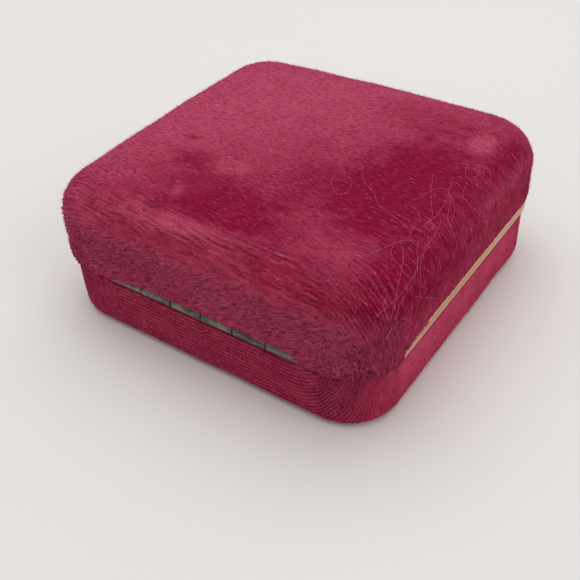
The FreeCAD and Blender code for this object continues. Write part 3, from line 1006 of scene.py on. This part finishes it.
def plush(name, deep, rose, shadow, scale, lean, slanted, sheen, weave):
    """Velvet: brushed light and dark with painted light and shade in its marked tone, painted shade
    between its tufts and painted light on their tips, with a soft sheen.
    """
    n = Nodes(name)
    cloth = n.cloth()
    rows = n.times(woven(n, cloth, 0.0006), weave)
    fibres = pile_fibres(n, cloth, scale, lean, slanted)
    specks = n.math("SUBTRACT", n.noise(n.scaled(cloth, (2600, 2900, 1)), 1.0, 2, 0.6), 0.5)
    n.surface({
        "Base Color": pile_colour(n, deep, rose, shadow, rows, fibres, specks),
        "Roughness": 0.9,
        "Specular IOR Level": 0.05,
        "Sheen Weight": sheen,
        "Sheen Roughness": 0.4,
        "Sheen Tint": (1.0, 0.08, 0.34, 1),
    })
    rough = n.plus(fibres, n.times(specks, 0.5))
    n.bump(n.plus(n.times(rows, 0.30), rough), 1.0, 0.0006)
    return n.material


def velvet_lid_material():
    """Deep rose plush with long pile."""
    return plush(
        "velvet_lid",
        deep=(0.36, 0.005, 0.044, 1),
        rose=(0.73, 0.108, 0.210, 1),
        shadow=(0.095, 0.002, 0.014, 1),
        scale=(1000, 3400, 1),
        lean=-27,
        slanted=0.6,
        sheen=0.26,
        weave=0.4,
    )


def velvet_base_material():
    """The base's flatter velvet, with its woven rows showing."""
    return plush(
        "velvet_base",
        deep=(0.36, 0.006, 0.046, 1),
        rose=(0.66, 0.085, 0.165, 1),
        shadow=(0.09, 0.002, 0.014, 1),
        scale=(1000, 2600, 1),
        lean=32,
        slanted=-0.4,
        sheen=0.22,
        weave=1.0,
    )


def velvet_pad_material():
    """Short velvet over the ring pads."""
    n = Nodes("velvet_pad")
    place = n.place()
    fibres = n.noise(n.scaled(place, (1500, 2200, 1500)), 1.0, 3, 0.6)
    patches = n.noise(place, 90, 3, 0.5)
    colour = n.mix(n.ramp(patches, 0.35, 0.65), (0.20, 0.007, 0.030, 1), (0.34, 0.03, 0.08, 1))
    colour = n.mix(n.ramp(fibres, 0.32, 0.55), n.mix(0.5, colour, (0.06, 0.0, 0.012, 1)), colour)
    n.surface({
        "Base Color": colour,
        "Roughness": 0.9,
        "Specular IOR Level": 0.05,
        "Sheen Weight": 0.4,
        "Sheen Tint": (1.0, 0.3, 0.5, 1),
    })
    n.bump(fibres, 0.5, 0.0002)
    return n.material


def satin_material():
    """Ivory satin: close threads, a soft gloss and a few rubbed marks."""
    n = Nodes("lining_satin")
    place = n.place()
    threads = n.noise(n.scaled(place, (400, 400, 6000)), 1.0, 2, 0.5)
    weft = n.noise(n.scaled(place, (7000, 500, 500)), 1.0, 2, 0.5)
    marks = n.noise(place, 120, 4, 0.6)
    colour = n.mix(n.ramp(marks, 0.35, 0.7), (0.74, 0.68, 0.56, 1), (0.80, 0.76, 0.66, 1))
    colour = n.mix(n.ramp(threads, 0.25, 0.6), n.mix(0.3, colour, (0.5, 0.43, 0.32, 1)), colour)
    n.surface({"Base Color": colour, "Roughness": 0.38, "Sheen Weight": 0.25})
    n.bump(n.plus(threads, weft), 0.35, 0.00008)
    return n.material


def gilt_material():
    """Pale worn gilt: dull, with small brown scuffs."""
    n = Nodes("gilt")
    place = n.place()
    wear = n.noise(place, 260, 3, 0.5)
    scuffs = n.noise(n.scaled(place, (900, 260, 1600)), 1.0, 4, 0.7)
    colour = n.mix(n.ramp(wear, 0.35, 0.70), (0.73, 0.45, 0.264, 1), (0.65, 0.39, 0.228, 1))
    colour = n.mix(n.ramp(scuffs, 0.70, 0.84), colour, (0.30, 0.16, 0.09, 1))
    n.surface({
        "Base Color": colour,
        "Metallic": 0.85,
        "Roughness": n.plus(0.26, n.times(scuffs, 0.3)),
    })
    n.bump(wear, 0.15, 0.0001)
    return n.material


def steel_material(name, dark, light, grain, roughness):
    """Plated steel with drawn streaks and tarnish."""
    n = Nodes(name)
    place = n.place()
    drawn = n.noise(n.scaled(place, grain), 1.0, 3, 0.6)
    tarnish = n.noise(place, 900, 4, 0.7)
    colour = n.mix(n.ramp(drawn, 0.3, 0.7), dark, light)
    colour = n.mix(n.ramp(tarnish, 0.42, 0.62), colour, n.mix(0.7, colour, (0.06, 0.06, 0.045, 1)))
    n.surface({
        "Base Color": colour,
        "Metallic": 0.75,
        "Roughness": n.plus(roughness, n.times(tarnish, 0.2)),
    })
    n.bump(n.plus(drawn, tarnish), 0.35, 0.00012)
    return n.material


def board_material():
    """Grey-brown card with flecks and pressed fibres."""
    n = Nodes("board")
    place = n.place()
    fibres = n.noise(n.scaled(place, (700, 1600, 900)), 1.0, 4, 0.7)
    flecks = n.noise(place, 2200, 2, 0.5)
    colour = n.mix(n.ramp(fibres, 0.3, 0.7), (0.36, 0.31, 0.24, 1), (0.52, 0.46, 0.37, 1))
    colour = n.mix(n.ramp(flecks, 0.64, 0.7), colour, (0.20, 0.15, 0.10, 1))
    n.surface({"Base Color": colour, "Roughness": 0.9})
    n.bump(fibres, 0.4, 0.0001)
    return n.material


def leather_material():
    """Thin matt leatherette with an embossed grain."""
    n = Nodes("under_cover")
    place = n.place()
    cells = n.add("ShaderNodeTexVoronoi", {"Vector": place, "Scale": 900.0}, feature="DISTANCE_TO_EDGE")
    grain = n.ramp(cells.outputs["Distance"], 0.0, 0.35)
    rubbed = n.noise(place, 60, 4, 0.6)
    colour = n.mix(n.ramp(rubbed, 0.4, 0.7), (0.10, 0.012, 0.026, 1), (0.16, 0.025, 0.045, 1))
    colour = n.mix(grain, n.mix(0.4, colour, (0.03, 0.004, 0.01, 1)), colour)
    n.surface({
        "Base Color": colour,
        "Roughness": n.math("SUBTRACT", 0.85, n.times(rubbed, 0.4)),
    })
    n.bump(grain, 0.5, 0.00012)
    return n.material


def lint_material():
    """Pale stray fibres."""
    n = Nodes("lint")
    shade = n.noise(n.place(), 300, 2, 0.5)
    colour = n.mix(shade, (0.80, 0.22, 0.34, 1), (0.98, 0.42, 0.54, 1))
    n.surface({"Base Color": colour, "Roughness": 0.6})
    return n.material


# ---- stage

def build_stage():
    """A pale floor and soft studio light."""
    n = Nodes("floor")
    place = n.place()
    cloud = n.noise(place, 9, 4, 0.5)
    n.surface({
        "Base Color": n.mix(cloud, (0.80, 0.79, 0.775, 1), (0.83, 0.81, 0.79, 1)),
        "Roughness": 0.8,
        "Specular IOR Level": 0.2,
    })
    side = 1500.0
    points = [(-side, -side, 0), (side, -side, 0), (side, side, 0), (-side, side, 0)]
    floor = make_piece("floor", points, [(0, 1, 2, 3)], n.material, smooth=False)
    scene = bpy.context.scene
    world = bpy.data.worlds.new("studio")
    world.use_nodes = True
    world.node_tree.nodes["Background"].inputs[0].default_value = (1.0, 0.985, 0.97, 1)
    world.node_tree.nodes["Background"].inputs[1].default_value = 0.48
    scene.world = world
    lamps = (
        ("overhead", (0.10, -0.14, 0.72), (0.0, 0.0, 0.0), 0.95, 3.7),
        ("window", (-0.75, 0.05, 0.65), (0.0, 0.0, 0.01), 0.5, 1.2),
    )
    for name, spot, target, size, power in lamps:
        light = bpy.data.lights.new(name, "AREA")
        light.size = size
        light.energy = power
        lamp = bpy.data.objects.new(name, light)
        lamp.location = spot
        lamp.rotation_euler = (Vector(target) - Vector(spot)).to_track_quat("-Z", "Y").to_euler()
        scene.collection.objects.link(lamp)
    scene.view_settings.view_transform = "Standard"


def build_camera():
    """The photograph's view: a phone held close, above the near back corner."""
    azimuth = math.radians(CAMERA_AZIMUTH)
    elevation = math.radians(CAMERA_ELEVATION)
    roll = math.radians(CAMERA_ROLL)
    back = Vector(
        (
            math.sin(azimuth) * math.cos(elevation),
            -math.cos(azimuth) * math.cos(elevation),
            math.sin(elevation),
        )
    )
    right = Vector((math.cos(azimuth), math.sin(azimuth), 0))
    up = back.cross(right)
    right_rolled = right * math.cos(roll) + up * math.sin(roll)
    up_rolled = up * math.cos(roll) - right * math.sin(roll)
    middle = Vector((0, 0, CAMERA_AIM_Z))
    spot = middle + back * CAMERA_DISTANCE + right_rolled * CAMERA_RIGHT + up_rolled * CAMERA_UP
    camera = bpy.data.objects.new("camera", bpy.data.cameras.new("camera"))
    camera.data.lens = CAMERA_LENS
    camera.data.sensor_width = SENSOR
    camera.data.clip_start = 0.01
    turn = Matrix((right_rolled, up_rolled, back)).transposed().to_4x4()
    camera.matrix_world = Matrix.Translation(spot * MM) @ turn
    bpy.context.scene.collection.objects.link(camera)
    bpy.context.scene.camera = camera


def paint(node, material):
    """Gives a CAD node's object a finished material."""
    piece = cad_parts[node]
    piece.data.materials.clear()
    piece.data.materials.append(material)


def build_covers():
    """The velvet outside, with its hairs, its fringe over the gilt frames and the lint."""
    lid_velvet = velvet_lid_material()
    base_velvet = velvet_base_material()
    build_lid_cover(lid_velvet)
    build_fringe("back_pile_left", 1, lid_velvet)
    build_fringe("back_pile_right", -1, lid_velvet)
    build_lint(lint_material())
    build_lid_fuzz(lid_velvet)
    build_base_cover(base_velvet)
    build_base_fuzz(base_velvet)


def build_interior():
    """The two pads, the lid's cushion and the satin round the walls."""
    pad_velvet = velvet_pad_material()
    satin = satin_material()
    for node, name in (("ring_pad_front", "front_pad_roll"), ("ring_pad_rear", "rear_pad_roll")):
        pad = stuffed(node, name, 0.7, 0.45, (1.5, 3.2), pad_velvet)
        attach(pad, "base")
    cushion = stuffed(
        "lid_lining_cushion", "lid_satin_cushion", 0.45, 0.5, (22.2, 23.0), satin
    )
    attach(cushion, "lid")
    build_wall_satin("base_wall_lining", "base_wall_satin", 1.35, 10.2, "base", satin)
    build_wall_satin("lid_wall_lining", "lid_wall_satin", 12.3, 20.35, "lid", satin)


def finish_hard_parts():
    """The spring, and materials for the CAD pieces that are seen as they are."""
    dull = (0.07, 0.075, 0.06, 1)
    pale = (0.46, 0.47, 0.41, 1)
    hinge = steel_material("hinge_steel", dull, (0.26, 0.265, 0.225, 1), (300, 2500, 2500), 0.35)
    spring = steel_material("spring_steel", (0.25, 0.26, 0.28, 1), pale, (2500, 300, 300), 0.25)
    shell = steel_material("shell_steel", (0.36, 0.36, 0.35, 1), pale, (400, 400, 1800), 0.35)
    build_spring(spring)
    finishes = (
        (gilt_material(), ("lid_rim", "base_rim")),
        (hinge, ("lid_hinge_leaf", "base_hinge_leaf", "hinge_pin")),
        (shell, ("lid_shell", "base_shell")),
        (board_material(), ("ring_pad_board", "lid_lining_card")),
        (leather_material(), ("base_bottom_cover",)),
    )
    for material, nodes in finishes:
        for node in nodes:
            paint(node, material)


def main():
    build_covers()
    build_interior()
    finish_hard_parts()
    build_stage()
    build_camera()


main()
